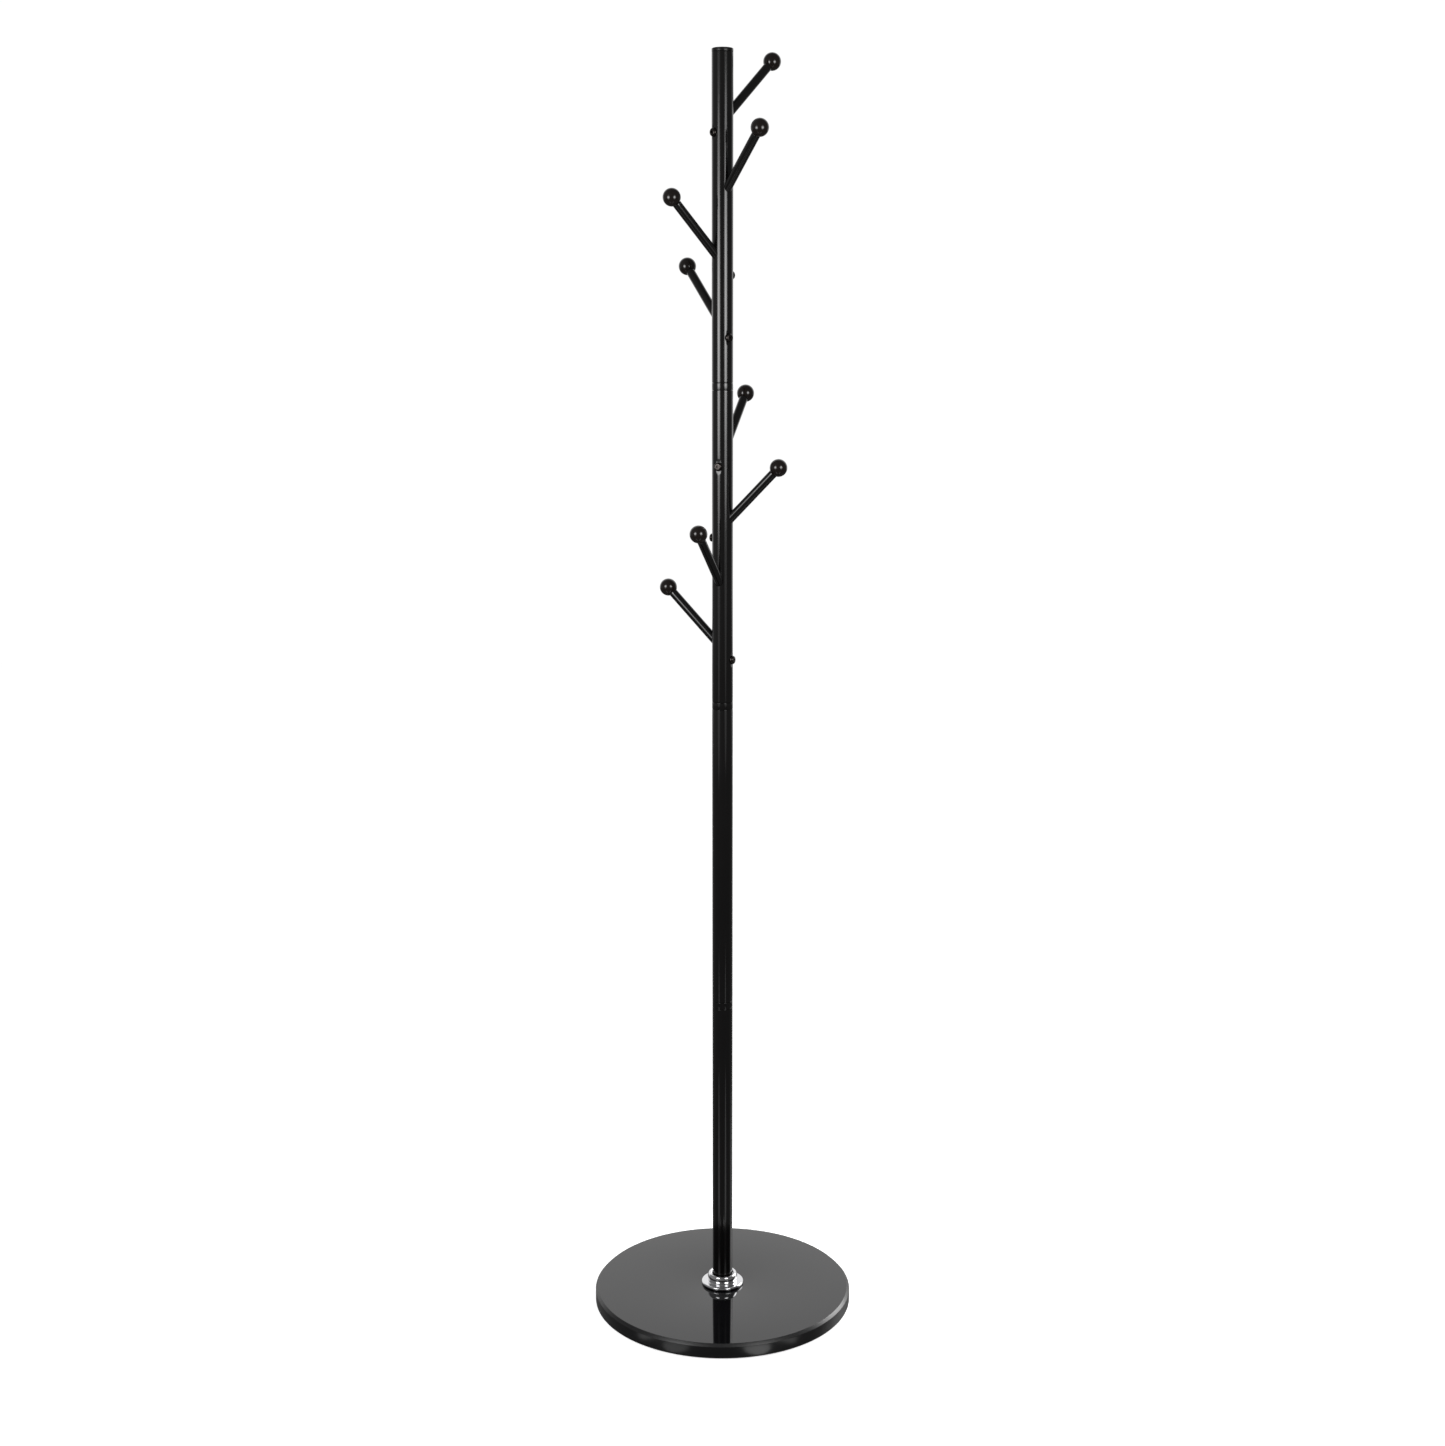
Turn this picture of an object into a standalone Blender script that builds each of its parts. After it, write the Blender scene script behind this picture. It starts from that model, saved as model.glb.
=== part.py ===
"""Standing coat rack: a round steel pole in four screwed sections on a round stone base.

Run with: blender --background --python part.py
Metres, +Z up, origin on the floor under the middle of the base, front towards -Y.
Two identical peg tubes carry four pegs each. Every peg enters the pole at 45 degrees and runs down
through it to the far wall, where a level button-head bolt through that wall screws into the rod's end.
"""

import math

import bmesh
import bpy
from mathutils import Matrix

# Driving dimensions
POLE_TOP = 1.748  # the highest peg's ball reaches 1.750
BASE_RADIUS = 0.185
TUBE_RADIUS = 0.0143
TUBE_WALL = 0.0012
PLAIN_TUBE_LENGTH = 0.421
PEG_TUBE_LENGTH = 0.424
GAP = 0.0003  # between pieces that touch

# Base
FOOT_HEIGHT = 0.002  # from the floor to the stone's underside
DISC_TOP = 0.0225
DISC_EDGE_RADIUS = 0.004
DISC_LOWER_CHAMFER = 0.001
DISC_HOLE_RADIUS = 0.006
COUNTERBORE_RADIUS = 0.015
COUNTERBORE_DEPTH = 0.010
PAD_RADIUS = 0.012
PAD_CIRCLE_RADIUS = 0.150
PAD_COUNT = 4
COLLAR_HEIGHT = 0.0165
COLLAR_FLANGE_RADIUS = 0.0303
COLLAR_BEAD_RADIUS = 0.0215
COLLAR_BEAD_HALF_HEIGHT = 0.0059
COLLAR_NECK_RADIUS = 0.0230
COLLAR_NECK_HEIGHT = 0.0047
COLLAR_FLANGE_THICKNESS = 0.0043

# Joints of the pole
BAND_HEIGHT = 0.0094
BAND_CHAMFER = 0.0005
SPIGOT_RADIUS = TUBE_RADIUS - TUBE_WALL - GAP
LOWER_SPIGOT_LENGTH = 0.025
UPPER_SPIGOT_LENGTH = 0.005
INSERT_START = 0.006  # above the foot of its tube
INSERT_LENGTH = 0.024
THREAD_RADIUS = 0.0049  # M10
THREAD_HOLE_RADIUS = 0.0053
STUD_LENGTH = 0.0495
STUD_HOLE_DEPTH = 0.027
CAP_SPIGOT_LENGTH = 0.016
CAP_SHELL = 0.002
CAP_CORNER_RADIUS = 0.0016
CAP_CROWN = 0.0005  # from the cap's shoulder up to its middle

# Pegs; distances along a peg's axis count from the pole's axis, outwards and upwards
PEG_SLOPE = math.radians(45)
PEG_HEIGHTS = (0.074, 0.156, 0.241, 0.3378)  # where the axes cross the pole's, above the tube's foot
PEG_TURN = math.radians(90)  # from one peg to the next one up
PEG_TUBE_START_ANGLES = (math.radians(157), math.radians(126))  # lower tube's first peg, upper tube's
BALL_RADIUS = 0.012
BALL_DISTANCE = 0.115
BALL_BORE_DEPTH = 0.0106
ROD_RADIUS = 0.006
ROD_START = -0.030  # past the far wall, before the rod's inner end is cut to it
TENON_RADIUS = 0.004
TENON_LENGTH = 0.010

# Peg bolts; distances along a bolt's axis count from the pole's axis, and the head is on the minus side
BOLT_DROP = 0.015  # from where a peg's axis crosses the pole's down to its bolt
BOLT_RADIUS = 0.0024  # M5
BOLT_HOLE_RADIUS = 0.0027
BOLT_TIP = -0.0065
BOLT_TIP_CHAMFER = 0.0005
HEAD_RADIUS = 0.0059
HEAD_FLAT_RADIUS = 0.0034
HEAD_HEIGHT = 0.0038
SOCKET_ACROSS_CORNERS = 0.0035
SOCKET_DEPTH = 0.002
SEAT_DISTANCE = 0.0138  # the flat in the tube's wall under the head
SEAT_RADIUS = 0.0062
CUT_REACH = 0.040  # how far a cutter goes out past the tube

# Base fixing
WASHER_RADIUS = 0.014
WASHER_THICKNESS = 0.002
BASE_BOLT_HEAD_HEIGHT = 0.0064
BASE_BOLT_HEAD_RADIUS = 0.0098  # to the hexagon's corners
BASE_BOLT_LENGTH = 0.041  # under the head

# Facets round each kind of turned piece
TUBE_STEPS = 32
DISC_STEPS = 64
COLLAR_STEPS = 32
PLUG_STEPS = 24
BALL_STEPS = 16
ROD_STEPS = 16
SCREW_STEPS = 12
ARC_STEPS = 3


def clear_scene():
    for old in list(bpy.data.objects):
        bpy.data.objects.remove(old, do_unlink=True)


def new_collection(name):
    made = bpy.data.collections.new(name)
    bpy.context.scene.collection.children.link(made)
    return made


def new_material(name, colour, roughness, metallic):
    made = bpy.data.materials.new(name)
    made.use_nodes = True
    shader = made.node_tree.nodes["Principled BSDF"]
    shader.inputs["Base Color"].default_value = (*colour, 1.0)
    shader.inputs["Roughness"].default_value = roughness
    shader.inputs["Metallic"].default_value = metallic
    made.diffuse_color = (*colour, 1.0)
    return made


def arc(centre_radius, centre_height, radius, start, end, steps, height_radius=None):
    """Points from start to end degrees round a centre in the profile plane: 90 is up, 0 is outwards."""
    upright = radius if height_radius is None else height_radius
    points = []
    for i in range(steps + 1):
        angle = math.radians(start + (end - start) * i / steps)
        across = centre_radius + radius * math.cos(angle)
        height = centre_height + upright * math.sin(angle)
        points.append((max(across, 0.0), height))
    return points


def turned(name, profile, steps, ring=False):
    """A turned body. Its profile runs down the outer side; a ring's profile closes on itself."""
    mesh = bpy.data.meshes.new(name)
    edges = [(i, i + 1) for i in range(len(profile) - 1)]
    if ring:
        edges.append((len(profile) - 1, 0))
    mesh.from_pydata([(radius, 0.0, height) for radius, height in profile], edges, [])
    body = bpy.data.objects.new(name, mesh)
    screw = body.modifiers.new("Turn", "SCREW")
    screw.axis = "Z"
    screw.angle = math.tau
    screw.steps = steps
    screw.render_steps = steps
    screw.use_merge_vertices = True
    screw.merge_threshold = 0.00001
    screw.use_smooth_shade = True
    return body


def prism(name, radius, start, end, sides, frames=(Matrix.Identity(4),)):
    """One straight prism or cylinder for each frame, along that frame's Z from start to end."""
    shape = bmesh.new()
    for frame in frames:
        middle = Matrix.Translation((0.0, 0.0, (start + end) / 2))
        bmesh.ops.create_cone(
            shape, cap_ends=True, segments=sides, radius1=radius, radius2=radius,
            depth=end - start, matrix=frame @ middle)
    mesh = bpy.data.meshes.new(name)
    shape.to_mesh(mesh)
    shape.free()
    return bpy.data.objects.new(name, mesh)


def as_cutter(body):
    cutters.objects.link(body)
    body.hide_render = True
    body.display_type = "WIRE"
    return body


def combine(body, operation, other):
    boolean = body.modifiers.new(other.name, "BOOLEAN")
    boolean.operation = operation
    boolean.object = other
    boolean.solver = "EXACT"


def finished_mesh(template):
    """The template's mesh with its modifiers applied, to be shared by identical pieces."""
    cutters.objects.link(template)
    bpy.context.view_layer.update()
    evaluated = template.evaluated_get(bpy.context.evaluated_depsgraph_get())
    mesh = bpy.data.meshes.new_from_object(evaluated)
    mesh.name = template.name
    bpy.data.objects.remove(template, do_unlink=True)
    shape_smooth(mesh)
    return mesh


def shape_smooth(mesh):
    mesh.shade_smooth()
    mesh.set_sharp_from_angle(angle=math.radians(35))


def place(name, shape, material, parent, height=0.0, turn=0.0):
    """Adds a piece to the rack: a turned body, or an object on a finished mesh."""
    body = shape if isinstance(shape, bpy.types.Object) else bpy.data.objects.new(name, shape)
    body.name = name
    rack.objects.link(body)
    if not body.data.materials:
        body.data.materials.append(material)
    body.parent = parent
    body.location = (0.0, 0.0, height)
    body.rotation_euler = (0.0, 0.0, turn)
    return body


def new_empty(name, parent=None, height=0.0, turn=0.0):
    made = bpy.data.objects.new(name, None)
    made.empty_display_size = 0.02
    rack.objects.link(made)
    made.parent = parent
    made.location = (0.0, 0.0, height)
    made.rotation_euler = (0.0, 0.0, turn)
    return made


def peg_frame(height, turn):
    """A frame at the pole's axis whose Z runs out along a peg."""
    lean = Matrix.Rotation(math.pi / 2 - PEG_SLOPE, 4, "Y")
    return Matrix.Translation((0.0, 0.0, height)) @ Matrix.Rotation(turn, 4, "Z") @ lean


def bolt_frame(height, turn):
    """A frame at the pole's axis whose Z runs level along a bolt, from its head towards its peg's side."""
    level = Matrix.Rotation(math.pi / 2, 4, "Y")
    return Matrix.Translation((0.0, 0.0, height - BOLT_DROP)) @ Matrix.Rotation(turn, 4, "Z") @ level


def tube_profile(length):
    outer, inner, edge = TUBE_RADIUS, TUBE_RADIUS - TUBE_WALL, BAND_CHAMFER
    return [
        (outer - edge, length), (outer, length - edge), (outer, edge), (outer - edge, 0.0),
        (inner, 0.0), (inner, length)]


def peg_tube_mesh():
    """A tube with a slanted hole for each rod and, in the wall across, a bolt hole in a flat seat."""
    places = [(height, i * PEG_TURN) for i, height in enumerate(PEG_HEIGHTS)]
    pegs = [peg_frame(height, turn) for height, turn in places]
    bolts = [bolt_frame(height, turn) for height, turn in places]
    rod_holes = prism("rod_holes", ROD_RADIUS + GAP, 0.0, CUT_REACH, ROD_STEPS, pegs)
    seats = prism("bolt_seats", SEAT_RADIUS, -CUT_REACH, -SEAT_DISTANCE, PLUG_STEPS, bolts)
    bolt_holes = prism("bolt_holes", BOLT_HOLE_RADIUS, -CUT_REACH, 0.0, SCREW_STEPS, bolts)
    tube = turned("peg_tube", tube_profile(PEG_TUBE_LENGTH), TUBE_STEPS, ring=True)
    for cutter in (rod_holes, seats, bolt_holes):
        combine(tube, "DIFFERENCE", as_cutter(cutter))
    return finished_mesh(tube)


def peg_rod_mesh():
    """A rod with a tenon for the ball, its inner end cut to the pole's far wall and drilled for the bolt."""
    shoulder = BALL_DISTANCE - ball_seat_depth() - GAP
    profile = [
        (0.0, shoulder + TENON_LENGTH), (TENON_RADIUS, shoulder + TENON_LENGTH),
        (TENON_RADIUS, shoulder), (ROD_RADIUS, shoulder), (ROD_RADIUS, ROD_START), (0.0, ROD_START)]
    rod = turned("peg_rod", profile, ROD_STEPS)
    into_rod = peg_frame(0.0, 0.0).inverted()
    across = into_rod @ bolt_frame(BOLT_DROP, 0.0)
    beyond_wall = prism("beyond_wall", CUT_REACH, -CUT_REACH, 0.0, 4, [across])
    bore = prism("bore", SPIGOT_RADIUS, -2 * CUT_REACH, 2 * CUT_REACH, TUBE_STEPS, [into_rod])
    combine(beyond_wall, "DIFFERENCE", as_cutter(bore))
    along_bolt = into_rod @ bolt_frame(0.0, 0.0)
    thread = prism("thread", BOLT_HOLE_RADIUS, -CUT_REACH, 0.0, SCREW_STEPS, [along_bolt])
    for cutter in (beyond_wall, thread):
        combine(rod, "DIFFERENCE", as_cutter(cutter))
    return finished_mesh(rod)


def ball_seat_depth():
    """From the ball's middle to the flat on which the rod's shoulder sits."""
    flat_radius = ROD_RADIUS + GAP
    return math.sqrt(BALL_RADIUS ** 2 - flat_radius ** 2)


def peg_ball_mesh():
    seat = BALL_DISTANCE - ball_seat_depth()
    bore = TENON_RADIUS + GAP
    lowest = -math.degrees(math.asin(ball_seat_depth() / BALL_RADIUS))
    profile = arc(0.0, BALL_DISTANCE, BALL_RADIUS, 90, lowest, BALL_STEPS // 2)
    profile += [(bore, seat), (bore, seat + BALL_BORE_DEPTH), (0.0, seat + BALL_BORE_DEPTH)]
    return finished_mesh(turned("peg_ball", profile, BALL_STEPS))


def peg_bolt_mesh():
    """A button-head screw with a hexagon socket, its tip in the rod's thread."""
    under_head = -SEAT_DISTANCE - GAP
    face = under_head - HEAD_HEIGHT
    dome = arc(
        HEAD_FLAT_RADIUS, under_head, HEAD_RADIUS - HEAD_FLAT_RADIUS, 0, -90, ARC_STEPS, HEAD_HEIGHT)
    profile = [
        (0.0, BOLT_TIP), (BOLT_RADIUS - BOLT_TIP_CHAMFER, BOLT_TIP),
        (BOLT_RADIUS, BOLT_TIP - BOLT_TIP_CHAMFER), (BOLT_RADIUS, under_head), *dome, (0.0, face)]
    bolt = turned("peg_bolt", profile, PLUG_STEPS)
    socket = prism("socket", SOCKET_ACROSS_CORNERS / 2, face - SOCKET_DEPTH, face + SOCKET_DEPTH, 6)
    combine(bolt, "DIFFERENCE", as_cutter(socket))
    return finished_mesh(bolt)


def add_peg(number, tube_empty, height, turn, meshes):
    rod, ball, bolt = meshes
    peg_empty = new_empty(f"peg_axis_{number}", tube_empty)
    peg_empty.matrix_local = peg_frame(height, turn)
    place(f"peg_rod_{number}", rod, painted_steel, peg_empty)
    place(f"peg_ball_{number}", ball, black_ball, peg_empty)
    bolt_empty = new_empty(f"bolt_axis_{number}", tube_empty)
    bolt_empty.matrix_local = bolt_frame(height, turn)
    place(f"peg_bolt_{number}", bolt, dark_bolt, bolt_empty)


def coupler_profile():
    """A plug in the tube below, a band the width of the tube, and a short spigot in the tube above."""
    top = BAND_HEIGHT + UPPER_SPIGOT_LENGTH
    return [
        (SPIGOT_RADIUS - BAND_CHAMFER, top), (SPIGOT_RADIUS, top - BAND_CHAMFER),
        (SPIGOT_RADIUS, BAND_HEIGHT), (TUBE_RADIUS - BAND_CHAMFER, BAND_HEIGHT),
        (TUBE_RADIUS, BAND_HEIGHT - BAND_CHAMFER), (TUBE_RADIUS, BAND_CHAMFER),
        (TUBE_RADIUS - BAND_CHAMFER, 0.0), (SPIGOT_RADIUS, 0.0),
        (SPIGOT_RADIUS, BAND_CHAMFER - LOWER_SPIGOT_LENGTH),
        (SPIGOT_RADIUS - BAND_CHAMFER, -LOWER_SPIGOT_LENGTH), (0.0, -LOWER_SPIGOT_LENGTH)]


def coupler_mesh():
    hole_top = BAND_HEIGHT + UPPER_SPIGOT_LENGTH
    hole_bottom = hole_top - STUD_HOLE_DEPTH
    hole = [(0.0, hole_bottom), (THREAD_HOLE_RADIUS, hole_bottom), (THREAD_HOLE_RADIUS, hole_top)]
    return finished_mesh(turned("coupler", hole + coupler_profile(), TUBE_STEPS))


def screw_profile(radius, bottom, top):
    """A plain shank with chamfered ends."""
    chamfer = radius * 0.2
    return [
        (0.0, top), (radius - chamfer, top), (radius, top - chamfer), (radius, bottom + chamfer),
        (radius - chamfer, bottom), (0.0, bottom)]


def add_joint(number, height, meshes):
    """The coupler on the tube that ends at this height, and the stud that screws into the next tube."""
    coupler, stud = meshes
    place(f"coupler_{number}", coupler, painted_steel, pole, height + GAP)
    hole_bottom = height + GAP + BAND_HEIGHT + UPPER_SPIGOT_LENGTH - STUD_HOLE_DEPTH
    place(f"coupling_stud_{number}", stud, zinc_steel, pole, hole_bottom + GAP)


def insert_profile():
    outer, inner, edge = SPIGOT_RADIUS, THREAD_HOLE_RADIUS, BAND_CHAMFER
    bottom, top = INSERT_START, INSERT_START + INSERT_LENGTH
    return [(outer - edge, top), (outer, top - edge), (outer, bottom), (inner, bottom), (inner, top)]


def cap_profile():
    """A low dome over the tube's end, with a hollow spigot inside it."""
    rim_height = cap_rim_height()
    corner = CAP_CORNER_RADIUS
    shoulder = rim_height - CAP_CROWN
    outer = arc(TUBE_RADIUS - corner, shoulder - corner, corner, 75, 0, ARC_STEPS)
    inner_radius = SPIGOT_RADIUS - CAP_SHELL
    return [
        (0.0, rim_height), *outer, (TUBE_RADIUS, BAND_CHAMFER), (TUBE_RADIUS - BAND_CHAMFER, 0.0),
        (SPIGOT_RADIUS, 0.0), (SPIGOT_RADIUS, -CAP_SPIGOT_LENGTH),
        (inner_radius, -CAP_SPIGOT_LENGTH), (inner_radius, 0.0), (0.0, 0.0)]


def cap_rim_height():
    return POLE_TOP - tube_feet()[3] - PEG_TUBE_LENGTH - GAP


def tube_feet():
    """The heights at which the four tubes start, from the base up."""
    joint = BAND_HEIGHT + 2 * GAP
    feet = [DISC_TOP + GAP]
    for length in (PLAIN_TUBE_LENGTH, PLAIN_TUBE_LENGTH, PEG_TUBE_LENGTH):
        feet.append(feet[-1] + length + joint)
    return feet


def disc_profile():
    edge, chamfer = DISC_EDGE_RADIUS, DISC_LOWER_CHAMFER
    rounded = arc(BASE_RADIUS - edge, DISC_TOP - edge, edge, 90, 0, ARC_STEPS)
    step = FOOT_HEIGHT + COUNTERBORE_DEPTH
    return [
        *rounded, (BASE_RADIUS, FOOT_HEIGHT + chamfer), (BASE_RADIUS - chamfer, FOOT_HEIGHT),
        (COUNTERBORE_RADIUS, FOOT_HEIGHT), (COUNTERBORE_RADIUS, step), (DISC_HOLE_RADIUS, step),
        (DISC_HOLE_RADIUS, DISC_TOP)]


def collar_profile():
    """A bead round the tube above a hollow neck and a flat flange with a round edge."""
    bore = TUBE_RADIUS + GAP
    bead_half = (COLLAR_BEAD_RADIUS - bore) / 2
    bead_middle = COLLAR_HEIGHT - COLLAR_BEAD_HALF_HEIGHT
    bead = arc(bore + bead_half, bead_middle, bead_half, 165, -50, 3 * ARC_STEPS, COLLAR_BEAD_HALF_HEIGHT)
    edge = COLLAR_FLANGE_THICKNESS / 2
    flange = arc(COLLAR_FLANGE_RADIUS - edge, edge, edge, 80, -90, 2 * ARC_STEPS)
    return [(bore, bead_middle), *bead, (COLLAR_NECK_RADIUS, COLLAR_NECK_HEIGHT), *flange, (bore, 0.0)]


def add_base():
    place("base_disc", turned("base_disc", disc_profile(), DISC_STEPS, ring=True), polished_stone, None)
    collar = turned("base_collar", collar_profile(), COLLAR_STEPS, ring=True)
    place("base_collar", collar, chrome, None, DISC_TOP + GAP)
    washer_top = FOOT_HEIGHT + COUNTERBORE_DEPTH - GAP
    washer_bottom = washer_top - WASHER_THICKNESS
    washer = [
        (WASHER_RADIUS, washer_top), (WASHER_RADIUS, washer_bottom),
        (THREAD_HOLE_RADIUS, washer_bottom), (THREAD_HOLE_RADIUS, washer_top)]
    place("base_washer", turned("base_washer", washer, PLUG_STEPS, ring=True), zinc_steel, None)
    add_base_bolt(washer_bottom - GAP)
    pad_height = FOOT_HEIGHT - GAP
    pad_edge = pad_height / 4
    pad = [
        (0.0, pad_height), (PAD_RADIUS, pad_height), (PAD_RADIUS, pad_edge),
        (PAD_RADIUS - pad_edge, 0.0), (0.0, 0.0)]
    pad_mesh = finished_mesh(turned("foot_pad", pad, BALL_STEPS))
    for i in range(PAD_COUNT):
        turn = math.tau * (i + 0.5) / PAD_COUNT
        foot = place(f"foot_pad_{i + 1}", pad_mesh, black_rubber, None)
        foot.location = (PAD_CIRCLE_RADIUS * math.cos(turn), PAD_CIRCLE_RADIUS * math.sin(turn), 0.0)


def add_base_bolt(under_head):
    bottom, top = under_head - BASE_BOLT_HEAD_HEIGHT / 2, under_head + BASE_BOLT_LENGTH
    bolt = turned("base_bolt", screw_profile(THREAD_RADIUS, bottom, top), SCREW_STEPS)
    head = prism(
        "hexagon_head", BASE_BOLT_HEAD_RADIUS, under_head - BASE_BOLT_HEAD_HEIGHT, under_head, 6)
    combine(bolt, "UNION", as_cutter(head))
    place("base_bolt", finished_mesh(bolt), zinc_steel, None)


def add_pole():
    feet = tube_feet()
    plain_mesh = finished_mesh(turned("pole_tube", tube_profile(PLAIN_TUBE_LENGTH), TUBE_STEPS, ring=True))
    place("pole_tube_lower", plain_mesh, painted_steel, pole, feet[0])
    place("pole_tube_middle", plain_mesh, painted_steel, pole, feet[1])
    stud = finished_mesh(turned("stud", screw_profile(THREAD_RADIUS, 0.0, STUD_LENGTH), SCREW_STEPS))
    joint_meshes = (coupler_mesh(), stud)
    joint = BAND_HEIGHT + 2 * GAP
    for number, foot in enumerate(feet[1:], start=1):
        add_joint(number, foot - joint, joint_meshes)
    insert = finished_mesh(turned("nut_insert", insert_profile(), PLUG_STEPS, ring=True))
    for number, foot in enumerate(feet, start=1):
        place(f"nut_insert_{number}", insert, zinc_steel, pole, foot)
    place("top_cap", turned("top_cap", cap_profile(), TUBE_STEPS), black_cap, pole,
          feet[3] + PEG_TUBE_LENGTH + GAP)


def add_pegs():
    """The two peg tubes with their pegs, numbered from the top of the rack down."""
    tube_mesh = peg_tube_mesh()
    peg_meshes = (peg_rod_mesh(), peg_ball_mesh(), peg_bolt_mesh())
    feet = tube_feet()
    names = ("peg_tube_lower", "peg_tube_upper")
    for level, name in enumerate(names):
        foot, start = feet[2 + level], PEG_TUBE_START_ANGLES[level]
        empty = new_empty(f"{name}_axis", pole, foot, start)
        place(name, tube_mesh, painted_steel, empty)
        highest = len(PEG_HEIGHTS) * (len(names) - level)
        for i, height in enumerate(PEG_HEIGHTS):
            add_peg(highest - i, empty, height, i * PEG_TURN, peg_meshes)


clear_scene()
rack = new_collection("standing_coat_rack")
cutters = new_collection("cutters")
painted_steel = new_material("black_painted_steel", (0.012, 0.012, 0.013), 0.32, 0.0)
black_ball = new_material("black_gloss_ball", (0.011, 0.010, 0.010), 0.18, 0.0)
black_cap = new_material("black_moulded_cap", (0.014, 0.014, 0.015), 0.38, 0.0)
dark_bolt = new_material("black_oxide_bolt", (0.045, 0.043, 0.042), 0.42, 1.0)
zinc_steel = new_material("zinc_plated_steel", (0.62, 0.62, 0.60), 0.35, 1.0)
polished_stone = new_material("polished_black_stone", (0.010, 0.010, 0.011), 0.05, 0.0)
chrome = new_material("chrome", (0.80, 0.80, 0.81), 0.06, 1.0)
black_rubber = new_material("black_rubber", (0.02, 0.02, 0.02), 0.8, 0.0)
pole = new_empty("pole_axis")
add_base()
add_pole()
add_pegs()
bpy.context.view_layer.update()
print(f"{sum(o.type == 'MESH' for o in rack.objects)} pieces")
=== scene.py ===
import math

import bmesh
import bpy
from mathutils import Matrix, Vector


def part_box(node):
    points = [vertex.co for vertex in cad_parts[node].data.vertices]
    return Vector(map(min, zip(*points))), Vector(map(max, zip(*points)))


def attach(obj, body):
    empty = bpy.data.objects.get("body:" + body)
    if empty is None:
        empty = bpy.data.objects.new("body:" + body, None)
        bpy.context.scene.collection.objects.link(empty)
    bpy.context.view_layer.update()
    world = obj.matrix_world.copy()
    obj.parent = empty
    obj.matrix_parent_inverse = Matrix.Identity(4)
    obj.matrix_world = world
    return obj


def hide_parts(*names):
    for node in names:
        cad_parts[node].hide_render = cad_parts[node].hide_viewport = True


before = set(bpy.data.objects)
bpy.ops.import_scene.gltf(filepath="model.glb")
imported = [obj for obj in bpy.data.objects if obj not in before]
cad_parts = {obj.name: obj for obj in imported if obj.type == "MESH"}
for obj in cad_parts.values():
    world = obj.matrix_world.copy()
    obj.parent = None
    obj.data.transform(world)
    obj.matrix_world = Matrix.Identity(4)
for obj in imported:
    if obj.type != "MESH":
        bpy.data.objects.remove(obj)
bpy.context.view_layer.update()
mm = 0.001


# ---- small tools shared by all the pieces

def hexLinear(code):
    channels = [int(code[i:i + 2], 16) / 255 for i in (1, 3, 5)]
    return tuple(c / 12.92 if c <= 0.04045 else ((c + 0.055) / 1.055) ** 2.4 for c in channels)


def addNode(tree, kind, settings=None, links=None):
    # settings go to the node's own properties or to its inputs, links join sockets to inputs
    node = tree.nodes.new(kind)
    for key, value in (settings or {}).items():
        if isinstance(key, str) and hasattr(node, key):
            setattr(node, key, value)
        else:
            node.inputs[key].default_value = value
    for key, socket in (links or {}).items():
        tree.links.new(socket, node.inputs[key])
    return node


def newMaterial(name, settings):
    material = bpy.data.materials.new(name)
    material.use_nodes = True
    tree = material.node_tree
    tree.nodes.clear()
    shader = addNode(tree, "ShaderNodeBsdfPrincipled", settings)
    addNode(tree, "ShaderNodeOutputMaterial", links={"Surface": shader.outputs["BSDF"]})
    return material, tree, shader


def soften(corners, closed=False, arcSteps=5):
    # corners are (radius, height, fillet); each fillet becomes an arc
    outline = []
    for i, (x, y, fillet) in enumerate(corners):
        here = Vector((x, y))
        if fillet == 0 or (not closed and i in (0, len(corners) - 1)):
            outline.append((x, y))
            continue
        toBefore = Vector(corners[i - 1][:2]) - here
        toAfter = Vector(corners[(i + 1) % len(corners)][:2]) - here
        half = toBefore.angle(toAfter) / 2
        reach = min(fillet / math.tan(half), 0.49 * toBefore.length, 0.49 * toAfter.length)
        a, b = toBefore.normalized(), toAfter.normalized()
        centre = here + (a + b).normalized() * (reach / math.cos(half))
        start, end = here + a * reach - centre, here + b * reach - centre
        first = math.atan2(start.y, start.x)
        sweep = (math.atan2(end.y, end.x) - first + math.pi) % math.tau - math.pi
        for k in range(arcSteps + 1):
            angle = first + sweep * k / arcSteps
            outline.append((centre.x + start.length * math.cos(angle),
                            centre.y + start.length * math.sin(angle)))
    return outline


def meshFrom(name, shape, sharpAngle=40):
    bmesh.ops.remove_doubles(shape, verts=shape.verts, dist=0.000002)
    bmesh.ops.recalc_face_normals(shape, faces=shape.faces)
    mesh = bpy.data.meshes.new(name)
    shape.to_mesh(mesh)
    shape.free()
    mesh.shade_smooth()
    mesh.set_sharp_from_angle(angle=math.radians(sharpAngle))
    return mesh


def skin(shape, rows, closed=False):
    # joins rows of points into quads; a row of one point makes a fan
    made = [[shape.verts.new(p) for p in row] for row in rows]
    pairs = list(zip(made, made[1:]))
    if closed:
        pairs.append((made[-1], made[0]))
    for upper, lower in pairs:
        count = max(len(upper), len(lower))
        for k in range(count):
            j = (k + 1) % count
            if len(upper) == 1 and len(lower) == 1:
                continue
            if len(upper) == 1:
                shape.faces.new((upper[0], lower[k], lower[j]))
            elif len(lower) == 1:
                shape.faces.new((upper[k], lower[0], upper[j]))
            else:
                shape.faces.new((upper[k], lower[k], lower[j], upper[j]))


def ringOf(radius, height, steps):
    if radius < 0.000001:
        return [Vector((0, 0, height))]
    return [Vector((radius * math.cos(math.tau * k / steps), radius * math.sin(math.tau * k / steps), height))
            for k in range(steps)]


def turnedMesh(name, outline, steps, closed=False):
    shape = bmesh.new()
    skin(shape, [ringOf(radius, height, steps) for radius, height in outline], closed)
    return meshFrom(name, shape)


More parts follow.
